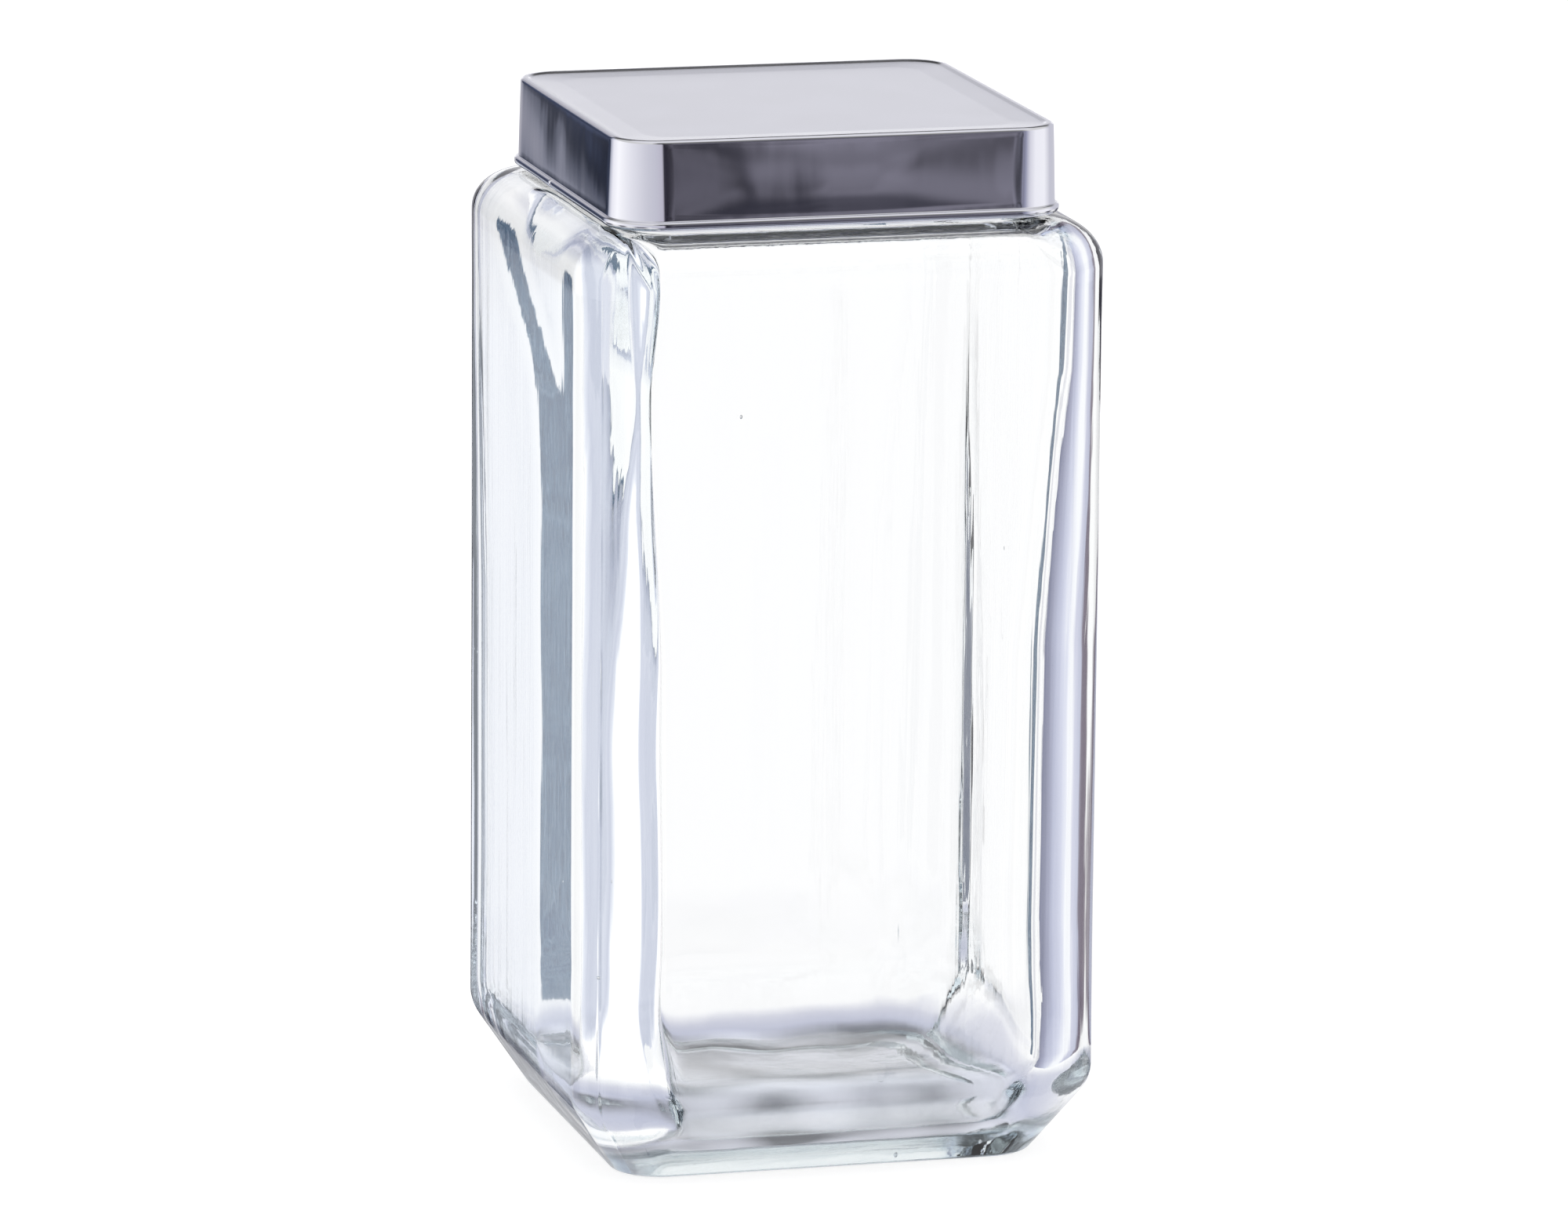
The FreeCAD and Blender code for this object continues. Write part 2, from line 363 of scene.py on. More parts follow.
def left_wedge(point, outward):
    """How far the inside of the left wall leans in, towards the front left corner.

    The slope is one band over most of the height. Below the shoulder it parts in two: one arm
    stays at the corner, and the other slants away from it.
    """
    wander = wave(point, 3.0, 500, 45, 5.0)
    arm = OUTER_ARM + OUTER_ARM_GROWTH * smooth_step(point.z, 135, 165)
    inner_edge = INNER_ARM_EDGE + wander
    outer_edge = inner_edge + arm + OUTER_ARM_SHIFT * smooth_step(point.z, 160, 196)
    y = max(point.y, WEDGE_STOP)
    run = soft_run(outer_edge - y) - soft_run(outer_edge - arm - y) + soft_run(inner_edge - y)
    slope = WEDGE_SLOPE + wave(point, 0.02, 400, 38, 9.0)
    lean = slope * run + smooth_step(run, 0, 6) * wave(point, 0.05, 7, 120, 61.0)
    # the extra thickness ends where the shoulder curves in to the neck
    rise = min(max((point.z - INNER_START) / INNER_RISE, 0.0), 1.0)
    lean *= smooth_step(point.z, 7, 15) * math.sqrt(1.0 - rise * rise)
    return lean * smooth_step(-outward.x, -0.2, 1.0)


# unevenness of the glass: depth, scale across and scale up the wall in millimetres, and a
# number that picks a place in the noise
OUTSIDE_WAVE = (0.08, 45, 90, 3.0)
INSIDE_WAVES = ((0.17, 34, 75, 11.0), (0.05, 9, 90, 17.0))
FLOOR_WAVES = ((0.4, 19, 30, 31.0), (0.12, 8, 30, 37.0))
HEEL_WAVES = ((0.4, 16, 14, 41.0), (0.05, 7, 6, 43.0))
HEEL_CORNER_WAVE = (0.9, 7, 9, 47.0)
SHOULDER_WAVE = (0.2, 15, 11, 53.0)
SEAM_WAVE = (0.4, 30, 6, 21.0)


def waves(point, kinds):
    return sum(wave(point, *kind) for kind in kinds)


def move_outside(point, place, wall):
    """How far a point of the outer skin moves out. The walls only sink, and the seams rise."""
    move = -wall * (OUTSIDE_WAVE[0] + wave(point, *OUTSIDE_WAVE))
    side, kind, share = place
    if kind == "corner" and side in (FRONT_LEFT, BACK_RIGHT):
        away = (share - 0.5) * CORNER_ARC / SEAM_WIDTH
        ridge = SEAM_HEIGHT * math.exp(-away * away) * smooth_step(point.z, 205, 195)
        move += ridge * (0.6 + wave(point, *SEAM_WAVE))
    return move


def move_low_and_high(point, outward):
    """How far the inner skin's low part and its shoulder move out, into the glass."""
    heel = smooth_step(point.z, 8, 14) * smooth_step(point.z, 40, 22)
    heel *= smooth_step(point.x, -50, -36)
    move = heel * waves(point, HEEL_WAVES)
    back_right = smooth_step(min(point.x, point.y), 28, 42)
    move += heel * back_right * wave(point, *HEEL_CORNER_WAVE)
    left_shoulder = smooth_step(point.z, 176, 190) * max(0.15, -outward.x)
    return move + left_shoulder * wave(point, *SHOULDER_WAVE)


def make_jar():
    """The jar's skin, with uneven walls and two mould seams.

    The mesh's point attribute "inside" is 1 on the inner walls and the floor.
    """
    profile, outside_rings = jar_profile()
    places = ring_pattern(seams=(FRONT_LEFT, BACK_RIGHT))

    def shape(point, outward, index, place):
        wall = smooth_step(point.z, 12, 35) * smooth_step(point.z, SHOULDER_START, 174)
        if index < outside_rings:
            move = move_outside(point, place, wall)
        else:
            move = wall * waves(point, INSIDE_WAVES)
            point.z += smooth_step(point.z, 16, 9) * waves(point, FLOOR_WAVES)
            move += move_low_and_high(point, outward)
            point.x += left_wedge(point, outward)
        return Vector((point.x + outward.x * move, point.y + outward.y * move, point.z))

    def sharpen(index, z):
        """A tighter inner corner at the front left, where the wall is thickest."""
        if index < outside_rings:
            return 1, 1, 1, 1
        return 1, 1, 1, 1 - 0.3 * smooth_step(z, 18, 40) * smooth_step(z, 190, 160)

    jar = skin("jar_glass", profile, places, shape, sharpen)
    first_inside = outside_rings * len(places)
    inside = jar.data.attributes.new("inside", "FLOAT", "POINT")
    for number in range(first_inside, len(jar.data.vertices)):
        inside.data[number].value = 1.0
    return jar


BUBBLE_STRETCH = 1.5      # how much taller than wide each bubble is
# centre and radius of each small gas bubble left in the glass, in millimetres
BUBBLES = (
    ((-23.5, -54.0, 162.0), 0.28), ((-54.2, -35.0, 62.0), 0.25), ((-51.0, -49.5, 45.0), 0.25),
    ((54.0, 12.0, 118.0), 0.28), ((-20.0, 54.0, 88.0), 0.25),
    ((18.0, -20.0, 4.2), 0.45), ((-31.0, 8.0, 4.6), 0.4), ((33.0, -38.0, 5.0), 0.4),
)


def add_bubbles(piece):
    """Closed hollows inside the glass, with their faces turned towards the gas."""
    mesh = bmesh.new()
    mesh.from_mesh(piece.data)
    for centre, radius in BUBBLES:
        made = bmesh.ops.create_icosphere(mesh, subdivisions=2, radius=radius * MM)
        fresh = set(made["verts"])
        for vertex in fresh:
            vertex.co.z *= BUBBLE_STRETCH
            vertex.co += Vector(centre) * MM
        faces = {face for vertex in fresh for face in vertex.link_faces}
        for face in faces:
            face.normal_flip()
            face.smooth = True
    mesh.to_mesh(piece.data)
    mesh.free()


GLASS_TINT, GLASS_DENSITY = (0.75, 0.87, 0.895, 1.0), 4.6
FLOOR_DULLNESS = 0.16     # roughness of the jar's floor; the rest of the glass has none


def glass_material():
    """Clear glass with faint draw lines, and a slight blue-green tint where it is thick."""
    material, tree, shader = new_material("clear_glass")
    shader.inputs["Base Color"].default_value = (1.0, 1.0, 1.0, 1.0)
    shader.inputs["IOR"].default_value = 1.5
    shader.inputs["Transmission Weight"].default_value = 1.0
    place = node(tree, "ShaderNodeTexCoord").outputs["Object"]
    swell = node(tree, "ShaderNodeTexNoise", Vector=place, Scale=45.0, Detail=2.0)
    draw_lines = node(tree, "ShaderNodeTexNoise", Scale=1.0, Detail=3.0,
                      Vector=stretched(tree, place, (230.0, 230.0, 7.0)))
    soft = node(tree, "ShaderNodeBump", Strength=0.06, Distance=0.0004,
                Height=swell.outputs["Fac"])
    bump = node(tree, "ShaderNodeBump", Strength=0.16, Distance=0.0003,
                Height=draw_lines.outputs["Fac"], Normal=soft.outputs["Normal"])
    tree.links.new(bump.outputs["Normal"], shader.inputs["Normal"])
    inside = node(tree, "ShaderNodeAttribute", attribute_name="inside").outputs["Fac"]
    height = node(tree, "ShaderNodeSeparateXYZ", Vector=place).outputs["Z"]
    near_floor = maths(tree, "SUBTRACT", 1.0, step(tree, height, 0.015, 0.010))
    on_floor = maths(tree, "MULTIPLY", near_floor, inside)
    dull = maths(tree, "MULTIPLY", on_floor, FLOOR_DULLNESS)
    tree.links.new(dull, shader.inputs["Roughness"])
    absorb = node(tree, "ShaderNodeVolumeAbsorption", Color=GLASS_TINT, Density=GLASS_DENSITY)
    output = tree.nodes["Material Output"]
    tree.links.new(absorb.outputs["Volume"], output.inputs["Volume"])
    return material


# ---------------------------------------------------------------- the lid shell

METAL = 0.6               # thickness of the sheet
SKIRT_HALF, LID_HALF = 47.4, 46.8      # half the width at the foot and the top of the skirt
HEM_TOP = HEM_BOTTOM + 1.9
PANEL_DROP = 0.6          # how far the middle of the top lies below its rim
HEM_GAP = 0.394           # where along the left side the rolled hem's ends meet
GAP_WIDTH, GAP_DEPTH = 0.004, 0.5      # the width is a share of the side, the depth in mm
SIDE_BOW = 0.16           # how far the middle of each side of the skirt bulges
SKIRT_WAVE = (0.05, 16, 14, 51.0)


def shell_profile():
    """Outside from the middle of the panel down to the hem, then back up the inside."""
    return rounded([
        (4.0, LID_TOP - PANEL_DROP, 3.0, 0), (39.0, LID_TOP - PANEL_DROP, 6.0, 12.0),
        (44.6, LID_TOP - 0.32, 7.0, 0.8), (45.3, LID_TOP, 7.6, 0.6),
        (LID_HALF, LID_TOP, 9.0, 0.9),
        (SKIRT_HALF - 0.06, HEM_TOP, 9.9, 0.25), (HEM_HALF, HEM_TOP, 10.8, 0.75),
        (HEM_HALF, HEM_BOTTOM, 10.8, 0.9), (SKIRT_HALF - METAL, HEM_BOTTOM, 9.4, 0.2),
        (LID_HALF - METAL, LID_TOP - METAL, 8.4, 0.6),
        (44.6, LID_TOP - METAL, 7.0, 1.4), (38.7, LID_TOP - PANEL_DROP - METAL, 5.8, 9.0),
        (4.0, LID_TOP - PANEL_DROP - METAL, 3.0, 0)], spacing=1.2)


def make_shell():
    """The cap's skin: crowned, slightly uneven sides and the joint of its rolled hem."""
    profile = shell_profile()
    inside_start = max(n for n, point in enumerate(profile) if point.x > SKIRT_HALF)

    def shape(point, outward, index, place):
        side, kind, share = place
        if index > inside_start:
            return point
        move = 0.0
        if HEM_TOP + 0.3 < point.z < LID_TOP - 0.4:
            up = (point.z - HEM_TOP) / (LID_TOP - HEM_TOP)
            crown = 4 * up * (1 - up)
            across = 4 * share * (1 - share) if kind == "flat" else 0.0
            move = 0.02 * crown + SIDE_BOW * across * crown
            move += crown * (0.3 + 0.7 * across) * wave(point, *SKIRT_WAVE)
        if side == LEFT_SIDE and kind == "flat" and point.z <= HEM_TOP:
            away = (share - HEM_GAP) / GAP_WIDTH
            move -= GAP_DEPTH * math.exp(-away ** 4)
        return Vector((point.x + outward.x * move, point.y + outward.y * move, point.z))

    gap = [HEM_GAP + n * 0.0025 for n in range(-3, 4)]
    return skin("lid_metal", profile, ring_pattern(left_extra=gap), shape)


def metal_material():
    """Mirror-polished on the skirt and satin on the top, with faint wipe marks."""
    material, tree, shader = new_material("polished_metal")
    shader.inputs["Metallic"].default_value = 1.0
    place = node(tree, "ShaderNodeTexCoord").outputs["Object"]
    cloud = node(tree, "ShaderNodeTexNoise", Vector=place, Scale=60.0, Detail=4.0).outputs["Fac"]
    tint = mixed(tree, cloud, (0.77, 0.77, 0.81), (0.82, 0.82, 0.85))
    tree.links.new(tint, shader.inputs["Base Color"])
    normal = node(tree, "ShaderNodeNewGeometry").outputs["Normal"]
    upward = node(tree, "ShaderNodeSeparateXYZ", Vector=normal).outputs["Z"]
    satin = maths(tree, "MULTIPLY_ADD", step(tree, upward, 0.9, 0.2), 0.19, 0.02)
    rough = maths(tree, "MULTIPLY_ADD", cloud, 0.05, satin)
    tree.links.new(rough, shader.inputs["Roughness"])
    wipe = node(tree, "ShaderNodeTexNoise", Scale=1.0, Detail=2.0,
                Vector=stretched(tree, place, (90.0, 90.0, 20.0)))
    bump = node(tree, "ShaderNodeBump", Strength=0.06, Distance=0.0003,
                Height=wipe.outputs["Fac"])
    tree.links.new(bump.outputs["Normal"], shader.inputs["Normal"])
    return material


def plastic_material(name, colour, roughness, grain_scale):
    """Moulded plastic or silicone: slightly cloudy, with a fine moulded grain."""
    material, tree, shader = new_material(name)
    place = node(tree, "ShaderNodeTexCoord").outputs["Object"]
    cloud = node(tree, "ShaderNodeTexNoise", Vector=place, Scale=40.0, Detail=3.0).outputs["Fac"]
    darker = tuple(channel * 0.94 for channel in colour)
    tree.links.new(mixed(tree, cloud, darker, colour), shader.inputs["Base Color"])
    rough = maths(tree, "MULTIPLY_ADD", cloud, 0.12, roughness)
    tree.links.new(rough, shader.inputs["Roughness"])
    shader.inputs["Subsurface Weight"].default_value = 0.15
    shader.inputs["Subsurface Radius"].default_value = (0.004, 0.004, 0.003)
    grain = node(tree, "ShaderNodeTexNoise", Vector=place, Scale=grain_scale, Detail=2.0)
    bump = node(tree, "ShaderNodeBump", Strength=0.15, Distance=0.0001,
                Height=grain.outputs["Fac"])
    tree.links.new(bump.outputs["Normal"], shader.inputs["Normal"])
    return material


def dress(piece, material):
    if piece.data.materials:
        piece.data.materials[0] = material
    else:
        piece.data.materials.append(material)


# ---------------------------------------------------------------- studio
#
# The camera sees a white surround and a pale floor. The metal and the glass meet a painted
# surround instead: soft boxes, dark areas and pale bands at given bearings, and a shade on
# the table under the jar. They suit the view of the camera that is made below. No real studio
# would match them, because light that has crossed more surfaces of the glass is shown a
# different surround.

FLOOR_HALF = 6.0
FLOOR_GLOW = 0.8          # most of the floor's brightness is its own: it shows almost no shadow
# half the width of the patch that paints a shadow on the table under the jar, in metres
PAINTED_SHADOW_HALF = 0.085
CAMERA_PLACE = (-0.5533, -2.0192, 0.5565)   # metres from the centre of the base
CAMERA_YAW, CAMERA_PITCH, CAMERA_ROLL = 15.348, 12.09, 0.471     # degrees
CAMERA_LENS, SENSOR = 233.9, 36.0           # millimetres


def flat_square(name, half, z):
    mesh = bpy.data.meshes.new(name)
    corners = [(-half, -half, 0), (half, -half, 0), (half, half, 0), (-half, half, 0)]
    mesh.from_pydata(corners, [], [(0, 1, 2, 3)])
    square = bpy.data.objects.new(name, mesh)
    bpy.context.scene.collection.objects.link(square)
    square.location.z = z
    return square


def make_floor():
    """The floor as the camera sees it. Mirrors and glass show the painted surround instead."""
    floor = flat_square("floor", FLOOR_HALF, -0.0002)
    material, tree, shader = new_material("pale_floor")
    shader.inputs["Base Color"].default_value = (0.3, 0.3, 0.3, 1.0)
    shader.inputs["Roughness"].default_value = 0.9
    shader.inputs["Specular IOR Level"].default_value = 0.1
    shader.inputs["Emission Color"].default_value = (1.0, 1.0, 1.0, 1.0)
    shader.inputs["Emission Strength"].default_value = FLOOR_GLOW
    dress(floor, material)
    floor.visible_glossy = False
    floor.visible_transmission = False


def make_painted_table_shadow():
    """A painted shadow under the jar: a glowing grey patch, seen only through the glass."""
    patch = flat_square("painted_table_shadow", PAINTED_SHADOW_HALF, -0.0001)
    material, tree, shader = new_material("painted_shadow_glow")
    place = node(tree, "ShaderNodeTexCoord").outputs["Object"]
    away = from_axis(tree, place)
    # painted shadow: grey under the jar, paler and bluer outwards, and white at the patch's edge
    shade = scale_ramp(tree, away, 0.0, PAINTED_SHADOW_HALF, [
        (0.0, (0.53, 0.54, 0.59)), (0.044, (0.53, 0.54, 0.60)), (0.054, (0.55, 0.57, 0.70)),
        (0.066, (0.68, 0.69, 0.79)), (PAINTED_SHADOW_HALF, (1.07, 1.07, 1.07))])
    # blotches of darker and lighter painted shade over the middle of the patch
    cloud = node(tree, "ShaderNodeTexNoise", Vector=place, Scale=32.0, Detail=1.0).outputs["Fac"]
    shadow_blotch = scale_ramp(tree, cloud, 0.35, 0.65, [(0.35, 0.30), (0.48, 0.95), (0.65, 1.5)])
    middle = maths(tree, "SUBTRACT", 1.0, step(tree, away, 0.052, 0.010))
    shade = mixed(tree, middle, shade, mixed(tree, 1.0, shade, shadow_blotch, "MULTIPLY"))
    shader.inputs["Base Color"].default_value = (0.0, 0.0, 0.0, 1.0)
    shader.inputs["Specular IOR Level"].default_value = 0.0
    shader.inputs["Emission Strength"].default_value = 1.0
    tree.links.new(shade, shader.inputs["Emission Color"])
    dress(patch, material)
    patch.visible_camera = False
    patch.visible_diffuse = False
    patch.visible_glossy = False
    patch.visible_shadow = False


def make_camera():
    """Look along the yaw, measured from +Y towards +X, and down by the pitch."""
    yaw, pitch, roll = (math.radians(a) for a in (CAMERA_YAW, CAMERA_PITCH, CAMERA_ROLL))
    forward = Vector((math.sin(yaw) * math.cos(pitch), math.cos(yaw) * math.cos(pitch),
                      -math.sin(pitch)))
    right = Vector((math.cos(yaw), -math.sin(yaw), 0))
    up = right.cross(forward)
    across = math.cos(roll) * right + math.sin(roll) * up
    upright = -math.sin(roll) * right + math.cos(roll) * up
    data = bpy.data.cameras.new("camera")
    data.lens, data.sensor_width = CAMERA_LENS, SENSOR
    camera = bpy.data.objects.new("camera", data)
    bpy.context.scene.collection.objects.link(camera)
    turn = Matrix((across, upright, -forward)).transposed()
    camera.matrix_world = Matrix.Translation(Vector(CAMERA_PLACE)) @ turn.to_4x4()
    bpy.context.scene.camera = camera


# Bearings are degrees from +Y towards +X, and a quarter is a bearing modulo 90. Heights are
# degrees above the horizontal. A colour above 1 is brighter than white.
LEFT_BRIGHT = 275.0       # from this bearing to NORTH the surround has no dark flags
NORTH = 357.0
DARK_FRONT = (158.0, 171.0, 3.0)    # the dark room in front: bearings and softness
DARK_LEFT = (338.0, 345.9, 1.5)     # and the one that the left side of the lid mirrors
NEAR_BLACK = (0.03, 0.03, 0.045)
CEILING, OVERHEAD = 25.0, 58.0
TABLE_EDGE, FRONT_TABLE_DROP = -10.2, -6.0

# what the metal mirrors near the horizontal, by bearing. To the camera the front of the lid
# mirrors the stops about 165 degrees and its left side those about 345, and the narrow ones
# are lines on them
MIRRORED_BOXES = (
    (0.0, (0.64, 0.64, 0.70)), (70.0, (0.68, 0.68, 0.76)), (95.0, (1.08, 1.08, 1.12)),
    (125.0, (1.05, 1.05, 1.10)), (141.0, (0.80, 0.80, 0.88)), (152.0, (0.38, 0.39, 0.52)),
    (161.0, (0.16, 0.16, 0.21)), (162.2, (0.12, 0.12, 0.15)), (162.45, (0.04, 0.04, 0.06)),
    (162.8, (0.06, 0.06, 0.08)), (163.1, (0.15, 0.145, 0.18)), (165.8, (0.15, 0.145, 0.18)),
    (166.3, (0.03, 0.028, 0.04)), (170.0, (0.025, 0.023, 0.035)),
    (173.5, (0.60, 0.58, 0.68)), (190.0, (0.66, 0.66, 0.75)), (210.0, (0.72, 0.72, 0.80)),
    (255.0, (0.95, 0.95, 1.01)), (295.0, (1.2, 1.2, 1.22)), (318.0, (1.0, 1.0, 1.06)),
    (335.0, (0.50, 0.52, 0.62)), (342.0, (0.04, 0.05, 0.085)), (344.8, (0.05, 0.06, 0.10)),
    (345.1, (0.12, 0.13, 0.18)), (345.3, (0.05, 0.06, 0.10)), (345.7, (0.06, 0.07, 0.11)),
    (346.0, (0.26, 0.27, 0.33)), (346.7, (0.32, 0.32, 0.39)), (348.0, (0.5, 0.5, 0.56)),
    (353.0, (0.5, 0.49, 0.54)),
)
# the wall behind the jar, by height
BACK_WALL = (
    (-10.0, 1.2), (3.0, 1.2), (6.0, (1.11, 1.11, 1.15)), (8.0, (0.97, 0.97, 1.02)),
    (9.2, (0.87, 0.87, 0.93)), (11.0, (0.79, 0.79, 0.85)), (14.0, (0.72, 0.72, 0.78)),
    (20.0, (0.59, 0.59, 0.64)), (26.0, 0.22), (60.0, 0.12),
)
# the ceiling, by bearing
CEILING_BOXES = (
    (0.0, 0.06), (40.0, 0.10), (70.0, 0.8), (140.0, 0.8), (165.0, 0.10), (180.0, 0.10),
    (200.0, 0.75), (320.0, 0.75), (338.0, 0.15), (360.0, 0.06),
)


def mirrored_walls(tree, bearing, height, speckle):
    """Soft boxes and dark areas all round, a graded back wall, and a ceiling with its boxes."""
    boxes = scale_ramp(tree, bearing, 0.0, 360.0, MIRRORED_BOXES)
    front = band(tree, bearing, *DARK_FRONT)
    dark_room = maths(tree, "MAXIMUM", front, band(tree, bearing, *DARK_LEFT))
    murk = scale_ramp(tree, speckle, 0.35, 0.65, [(0.35, 0.35), (0.65, 1.8)])
    boxes = mixed(tree, dark_room, boxes, mixed(tree, 1.0, boxes, murk, "MULTIPLY"))
    # a slanting dark beam, and a darker foot to the room in front
    slant = maths(tree, "MULTIPLY_ADD", height, -0.05, bearing)
    beam = maths(tree, "MULTIPLY", band(tree, slant, 165.4, 165.75, 0.2), 0.7)
    boxes = mixed(tree, beam, boxes, NEAR_BLACK)
    upper = maths(tree, "MULTIPLY", 0.7, step(tree, height, -8.5, 1.5))
    foot = maths(tree, "MULTIPLY", front, maths(tree, "SUBTRACT", 0.7, upper))
    boxes = mixed(tree, foot, boxes, NEAR_BLACK)
    # the back wall runs from bearing 357 to 32, past 0, so it is found on a turned scale
    turned = maths(tree, "MODULO", maths(tree, "ADD", bearing, 30.0), 360.0)
    back = maths(tree, "MULTIPLY", band(tree, turned, 27.0, 62.0, 4.0), step(tree, height, 1.0, 4.0))
    walls = mixed(tree, back, boxes, scale_ramp(tree, height, -10.0, 60.0, BACK_WALL))
    ceiling = scale_ramp(tree, bearing, 0.0, 360.0, CEILING_BOXES)
    walls = mixed(tree, step(tree, height, CEILING, 12.0), walls, ceiling)
    return mixed(tree, step(tree, height, OVERHEAD, 8.0), walls, (0.86, 0.86, 0.90))


def mirrored_table(tree, bearing, quarter, height, cloud):
    """A pale table with dark patches towards the corners and the middles of the jar's sides."""
    patches = maths(tree, "MAXIMUM", band(tree, quarter, 31.0, 59.0, 16.0),
                    maths(tree, "SUBTRACT", 1.0, band(tree, quarter, 9.0, 81.0, 12.0)))
    shade = scale_ramp(tree, cloud, 0.3, 0.7, [(0.3, (0.04, 0.04, 0.07)), (0.7, (0.2, 0.2, 0.25))])
    table = mixed(tree, patches, (1.0, 1.0, 1.0), shade)
    table = mixed(tree, step(tree, height, -22.0, 4.0), (0.8, 0.8, 0.82), table)
    table = mixed(tree, band(tree, bearing, 140.0, 185.0, 10.0), table, (0.22, 0.22, 0.28))
    return mixed(tree, band(tree, bearing, 335.0, 352.0, 6.0), table, (0.74, 0.80, 0.90))


def reflected_studio(tree, bearing, quarter, height, cloud, speckle):
    """What the metal and the glass mirror: the walls above the table's edge, and the table."""
    walls = mirrored_walls(tree, bearing, height, speckle)
    table = mirrored_table(tree, bearing, quarter, height, cloud)
    towards_front = band(tree, bearing, 130.0, 200.0, 6.0)
    edge = maths(tree, "MULTIPLY_ADD", towards_front, FRONT_TABLE_DROP, TABLE_EDGE)
    above = step(tree, maths(tree, "SUBTRACT", height, edge), 0.0, 0.8)
    return mixed(tree, above, table, walls)


def studio_dome(tree, height, cloud):
    """White near the horizontal, greyer towards the table and patchy towards the ceiling."""
    level = scale_ramp(tree, height, -90.0, 90.0, [
        (-90.0, (0.50, 0.51, 0.58)), (-40.0, (0.72, 0.73, 0.80)), (-28.0, 1.05), (13.0, 1.07),
        (24.0, (0.66, 0.74, 0.79)), (38.0, (0.85, 0.90, 0.93)), (80.0, 1.0)])
    patch = scale_ramp(tree, cloud, 0.36, 0.52, [(0.36, (0.10, 0.17, 0.21)), (0.52, 1.35)])
    return mixed(tree, step(tree, height, 20.0, 12.0), level,
                 mixed(tree, 1.0, level, patch, "MULTIPLY"))


# the surround as light finds it in a corner of the glass, by quarter, and paler on the left
CORNER_SIDES = (
    (0.0, 0.95), (34.0, 0.95), (37.0, (0.17, 0.14, 0.18)), (42.0, (0.20, 0.17, 0.22)),
    (45.0, (0.50, 0.52, 0.65)), (54.0, (0.62, 0.63, 0.76)), (59.0, (0.93, 0.94, 0.97)),
    (65.0, (0.92, 0.93, 0.97)), (71.0, (0.66, 0.68, 0.81)), (78.0, (0.50, 0.52, 0.66)),
    (84.0, (0.34, 0.35, 0.47)), (90.0, (0.22, 0.23, 0.32)),
)
LEFT_CORNER_SIDES = (
    (0.0, 1.05), (42.0, 1.10), (46.0, (0.78, 0.81, 0.90)), (51.0, (0.62, 0.65, 0.76)),
    (68.0, (0.70, 0.73, 0.83)), (80.0, (0.60, 0.62, 0.74)), (90.0, 0.9),
)


def on_left(tree, bearing):
    return band(tree, bearing, LEFT_BRIGHT, NORTH, 2.0)


def studio_through_corner(tree, bearing, quarter, height, cloud):
    """What shows to light that has crossed one to three glass surfaces, as at a corner."""
    sides = scale_ramp(tree, quarter, 0.0, 90.0, CORNER_SIDES)
    left_sides = scale_ramp(tree, quarter, 0.0, 90.0, LEFT_CORNER_SIDES)
    sides = mixed(tree, on_left(tree, bearing), sides, left_sides)
    return mixed(tree, 1.0, sides, studio_dome(tree, height, cloud), "MULTIPLY")


DARK_FLAG = (32.7, 43.0, 1.0)       # quarters and softness
PALE_FLAG = (51.0, 61.0, 5.0)


def studio_through_jar(tree, bearing, quarter, height, cloud, streaks):
    """What shows to light that has crossed four or more surfaces, as through both walls.

    It is the dome with narrow upright flags, repeated every quarter turn but on the left.
    """
    plain = studio_dome(tree, height, cloud)
    dark = band(tree, quarter, *DARK_FLAG)
    streak = scale_ramp(tree, streaks, 0.35, 0.65, [
        (0.35, (0.0, 0.02, 0.06)), (0.5, (0.02, 0.08, 0.17)), (0.65, (0.22, 0.32, 0.42))])
    flags = mixed(tree, dark, plain, streak)
    pale = maths(tree, "MULTIPLY", band(tree, quarter, *PALE_FLAG), 0.45)
    flags = mixed(tree, pale, flags, (0.30, 0.31, 0.42))
    return mixed(tree, on_left(tree, bearing), flags, plain)


CAMERA_WHITE, LIGHT_WHITE = (1.0, 1.0, 1.0), (1.15, 1.15, 1.15)
# light that has crossed more glass surfaces than this meets the next surround
INTO_GLASS, THROUGH_JAR, DEEP_IN_GLASS = 0.5, 3.5, 5.5


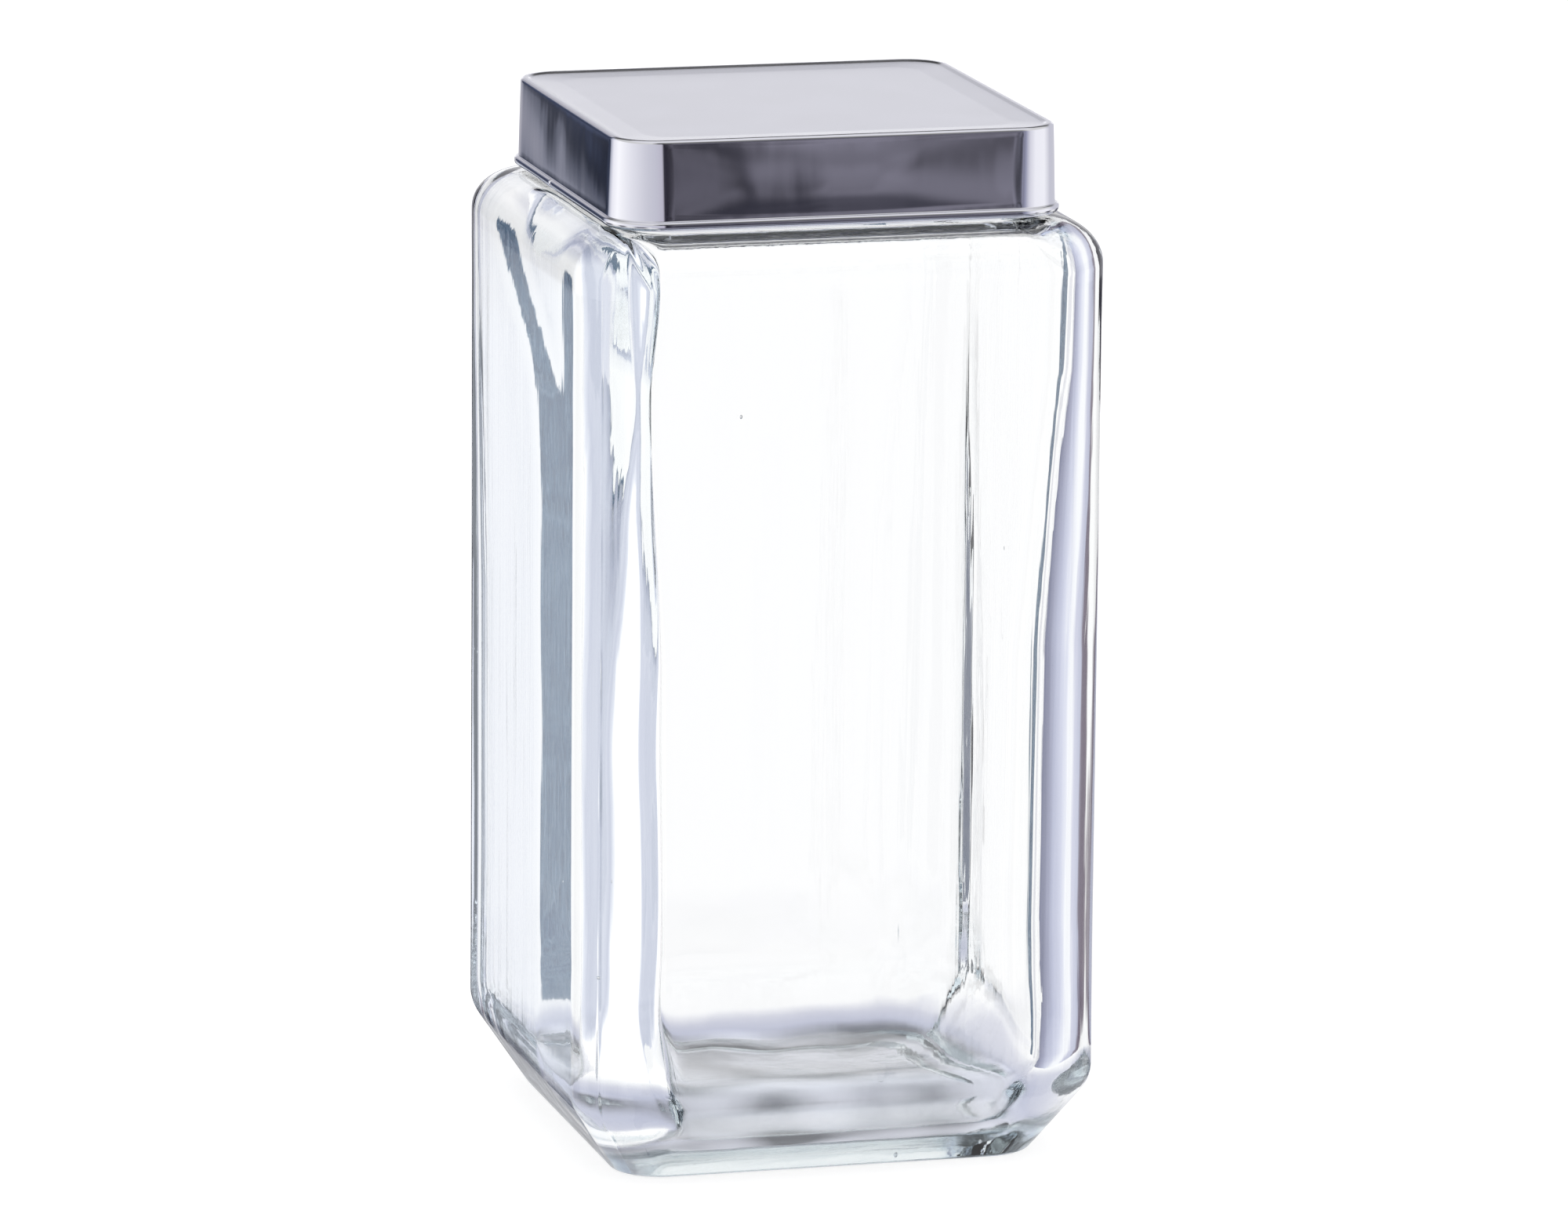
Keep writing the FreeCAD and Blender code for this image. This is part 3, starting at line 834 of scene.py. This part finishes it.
def make_world():
    """The surround: white to the camera and as diffuse light, painted to mirrors and glass."""
    world = bpy.data.worlds.new("studio")
    world.use_nodes = True
    world.cycles.sampling_method = "NONE"
    tree = world.node_tree
    tree.nodes.clear()
    direction = node(tree, "ShaderNodeTexCoord").outputs["Generated"]
    split = node(tree, "ShaderNodeSeparateXYZ", Vector=direction)
    radians = maths(tree, "ARCTAN2", split.outputs["X"], split.outputs["Y"])
    turned = maths(tree, "ADD", maths(tree, "DEGREES", radians), 360.0)
    bearing = maths(tree, "MODULO", turned, 360.0)
    quarter = maths(tree, "MODULO", turned, 90.0)
    height = maths(tree, "DEGREES", maths(tree, "ARCSINE", split.outputs["Z"]))
    cloud = node(tree, "ShaderNodeTexNoise", Vector=stretched(tree, direction, (22.0, 22.0, 9.0)),
                 Scale=1.0, Detail=3.0).outputs["Fac"]
    speckle = node(tree, "ShaderNodeTexNoise", Scale=1.0, Detail=2.0,
                   Vector=stretched(tree, direction, (62.0, 62.0, 11.0))).outputs["Fac"]
    streaks = node(tree, "ShaderNodeTexNoise", Scale=1.0, Detail=2.0,
                   Vector=stretched(tree, direction, (420.0, 420.0, 9.0))).outputs["Fac"]
    path = node(tree, "ShaderNodeLightPath").outputs
    crossings = path["Transmission Depth"]
    seen = mixed(tree, path["Is Glossy Ray"], LIGHT_WHITE,
                 reflected_studio(tree, bearing, quarter, height, cloud, speckle))
    seen = mixed(tree, maths(tree, "GREATER_THAN", crossings, INTO_GLASS), seen,
                 studio_through_corner(tree, bearing, quarter, height, cloud))
    seen = mixed(tree, maths(tree, "GREATER_THAN", crossings, THROUGH_JAR), seen,
                 studio_through_jar(tree, bearing, quarter, height, cloud, streaks))
    # the deepest paths meet one more dark area on the near left
    deep = maths(tree, "MULTIPLY", maths(tree, "GREATER_THAN", crossings, DEEP_IN_GLASS),
                 band(tree, height, -28.0, 16.0, 8.0))
    deep = maths(tree, "MULTIPLY", deep, band(tree, bearing, 214.0, 264.0, 6.0))
    seen = mixed(tree, deep, seen, (0.08, 0.10, 0.16))
    seen = mixed(tree, path["Is Camera Ray"], seen, CAMERA_WHITE)
    background = node(tree, "ShaderNodeBackground", Color=seen, Strength=1.0)
    output = tree.nodes.new("ShaderNodeOutputWorld")
    tree.links.new(background.outputs[0], output.inputs["Surface"])
    bpy.context.scene.world = world


def area_light(name, place, target, size, power):
    data = bpy.data.lights.new(name, "AREA")
    data.shape, data.size, data.energy = "SQUARE", size, power
    light = bpy.data.objects.new(name, data)
    bpy.context.scene.collection.objects.link(light)
    light.location = place
    light.rotation_mode = "QUATERNION"
    light.rotation_quaternion = (Vector(target) - Vector(place)).to_track_quat("-Z", "Y")
    light.visible_glossy = False
    light.visible_transmission = False


def set_render_look():
    """Colours as they are, and enough bounces for light to come out of the thick glass."""
    scene = bpy.context.scene
    scene.view_settings.view_transform = "Standard"
    scene.cycles.max_bounces = 32
    scene.cycles.transmission_bounces = 32
    scene.cycles.glossy_bounces = 16
    scene.cycles.transparent_max_bounces = 16


jar = make_jar()
add_bubbles(jar)
dress(jar, glass_material())
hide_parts("glass_jar")
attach(jar, "jar")

shell = make_shell()
dress(shell, metal_material())
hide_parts("lid_shell")
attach(shell, "lid")

liner_plastic = plastic_material("liner_plastic", (0.86, 0.86, 0.84), roughness=0.3,
                                 grain_scale=900.0)
dress(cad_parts["lid_liner"], liner_plastic)
seal_silicone = plastic_material("seal_silicone", (0.80, 0.82, 0.81), roughness=0.45,
                                 grain_scale=1500.0)
dress(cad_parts["lid_gasket"], seal_silicone)

make_floor()
make_painted_table_shadow()
make_world()
area_light("top_softbox", place=(0.0, -0.3, 1.8), target=(0, 0, 0.1), size=1.6, power=8.0)
make_camera()
set_render_look()
